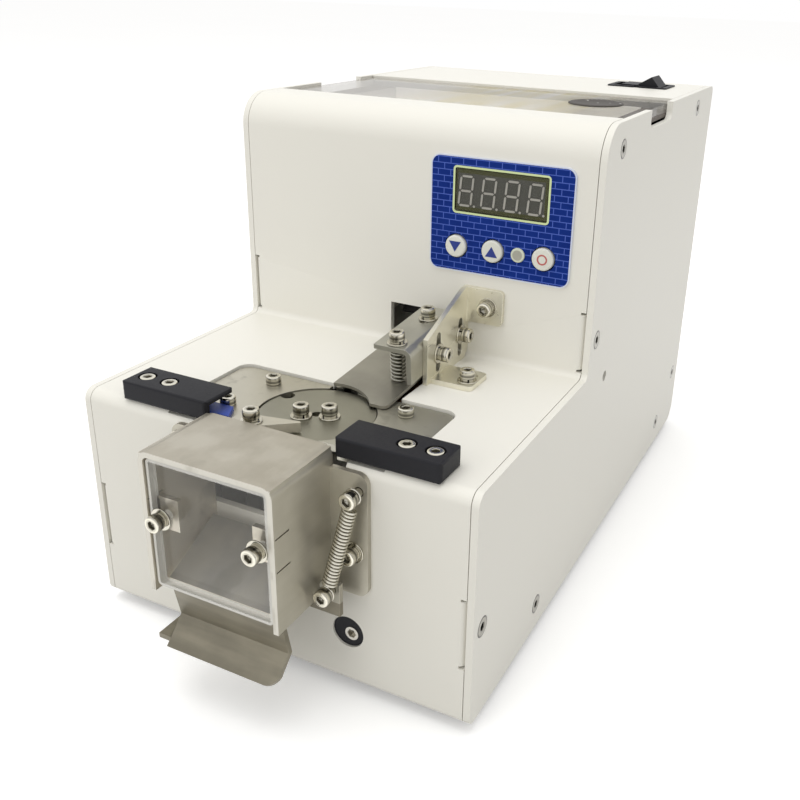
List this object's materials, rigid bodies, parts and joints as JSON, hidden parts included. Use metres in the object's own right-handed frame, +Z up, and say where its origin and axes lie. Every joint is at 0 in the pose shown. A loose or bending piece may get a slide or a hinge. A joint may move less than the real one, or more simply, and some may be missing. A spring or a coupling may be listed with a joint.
{
  "type": "automatic screw feeder",
  "caption": "White bench screw feeder with a hopper lid, blue display panel, indexing turntable under a sprung guide, and a steel catch box with a sprung trap door.",
  "frame": {"origin": "under the middle of the bounding box, on the surface that the feet stand on", "axes": "+X to the machine's right, +Y from the catch box to the back, +Z up"},
  "size_m": [0.123, 0.241, 0.1494],
  "materials": {
    "white_coat": "satin powder coat",
    "sheet_steel": "satin powder coat",
    "stainless": "brushed",
    "nickel": "satin nickel plate",
    "screw_steel": "polished",
    "dark_steel": "turned",
    "clear_acrylic": "clear",
    "hopper_beige": "satin",
    "blue_label": "semi-gloss film",
    "smoke_window": "smoked",
    "button_white": "semi-gloss",
    "black_plastic": "moulded",
    "blue_plastic": "moulded",
    "black_rubber": "matt",
    "motor_steel": "satin",
    "circuit_board": "solder mask",
    "copper": "enamelled",
    "bristle": "fibre"
  },
  "bodies": {
    "housing": {"right_side_plate": "white_coat", "left_side_plate": "white_coat", "front_cover": "white_coat", "rear_cover": "white_coat", "base_plate": "sheet_steel", "rubber_feet": "black_rubber", "panel_screws": "screw_steel", "hopper_tray": "hopper_beige", "display_panel": "blue_label", "display_window": "smoke_window", "digit_module": "smoke_window", "display_board": "circuit_board", "indicator_lens": "clear_acrylic", "switch_housing": "black_plastic", "table_plate": "stainless", "table_screws": "screw_steel", "standoffs": "nickel", "motor_plate": "sheet_steel", "turntable_motor": "motor_steel", "deflector_arm": "nickel", "deflector_screw": "screw_steel", "sensor_block_left": "black_plastic", "sensor_block_right": "black_plastic", "sensor_screws": "screw_steel", "sensor_tab": "blue_plastic", "rail_springs": "nickel", "rail_base": "dark_steel", "drive_magnet": "copper", "guide_springs": "screw_steel", "guide_hanger": "stainless", "guide_bracket": "stainless", "bracket_screws": "screw_steel", "catch_box": "stainless", "box_window": "clear_acrylic", "window_screws": "screw_steel", "box_screws": "screw_steel", "door_pin": "screw_steel", "door_spring": "screw_steel", "adjust_block": "black_plastic", "adjust_screw": "screw_steel", "lift_motor": "motor_steel", "lift_bracket": "sheet_steel", "brush_motor": "motor_steel", "control_board": "circuit_board", "power_inlet": "black_plastic"},
    "lid": {"hopper_lid": "clear_acrylic"},
    "turntable": {"turntable_disc": "dark_steel", "turntable_hub": "nickel", "disc_screws": "screw_steel"},
    "door": {"trap_door": "stainless", "door_post": "screw_steel"},
    "rocker": {"switch_rocker": "black_plastic"},
    "key_down": {"button_down": "button_white"},
    "key_up": {"button_up": "button_white"},
    "key_set": {"button_set": "button_white"},
    "guide": {"guide_plate": "dark_steel", "guide_screws": "screw_steel"},
    "scoop": {"lift_scoop": "nickel"},
    "brush_drum": {"brush": "bristle"},
    "rail": {"feed_rail": "nickel"}
  },
  "joints": [
    {"name": "turntable_spin", "type": "hinge", "parent": "housing", "child": "turntable", "pos_m": [0.0033, -0.07205, 0.07], "axis": [0, 0, -1], "continuous": true},
    {"name": "trap_door_swing", "type": "hinge", "parent": "housing", "child": "door", "pos_m": [0.0019, -0.09895, 0.038], "axis": [1, 0, 0], "range_deg": [0, 26], "stiffness_Nm_per_rad": 0.04, "springref_deg": -20.05, "deforming": ["door_spring"]},
    {"name": "lid_lift", "type": "slide", "parent": "housing", "child": "lid", "axis": [0, 0, 1], "range_m": [0, 0.04]},
    {"name": "switch_rock", "type": "hinge", "parent": "housing", "child": "rocker", "pos_m": [0.0388, 0.09855, 0.1455], "axis": [0, 1, 0], "range_deg": [0, 30]},
    {"name": "button_down_press", "type": "slide", "parent": "housing", "child": "key_down", "axis": [0, 1, 0], "range_m": [0, 0.0008], "stiffness_N_per_m": 1000, "springref_m": -0.0002},
    {"name": "button_up_press", "type": "slide", "parent": "housing", "child": "key_up", "axis": [0, 1, 0], "range_m": [0, 0.0008], "stiffness_N_per_m": 1000, "springref_m": -0.0002},
    {"name": "button_set_press", "type": "slide", "parent": "housing", "child": "key_set", "axis": [0, 1, 0], "range_m": [0, 0.0008], "stiffness_N_per_m": 1000, "springref_m": -0.0002},
    {"name": "guide_float", "type": "slide", "parent": "housing", "child": "guide", "axis": [0, -0.0785, 0.9969], "range_m": [0, 0.0008], "stiffness_N_per_m": 800, "springref_m": -0.003, "deforming": ["guide_springs"]},
    {"name": "scoop_lift", "type": "hinge", "parent": "housing", "child": "scoop", "pos_m": [0.0019, 0.01355, 0.053], "axis": [1, 0, 0], "range_deg": [0, 25]},
    {"name": "brush_spin", "type": "hinge", "parent": "housing", "child": "brush_drum", "pos_m": [0.0019, -0.002, 0.0854], "axis": [1, 0, 0], "continuous": true},
    {"name": "rail_shuttle", "type": "slide", "parent": "housing", "child": "rail", "axis": [0, 0.9969, 0.0785], "range_m": [-0.0004, 0.0004], "stiffness_N_per_m": 5000, "deforming": ["rail_springs"]}
  ]
}
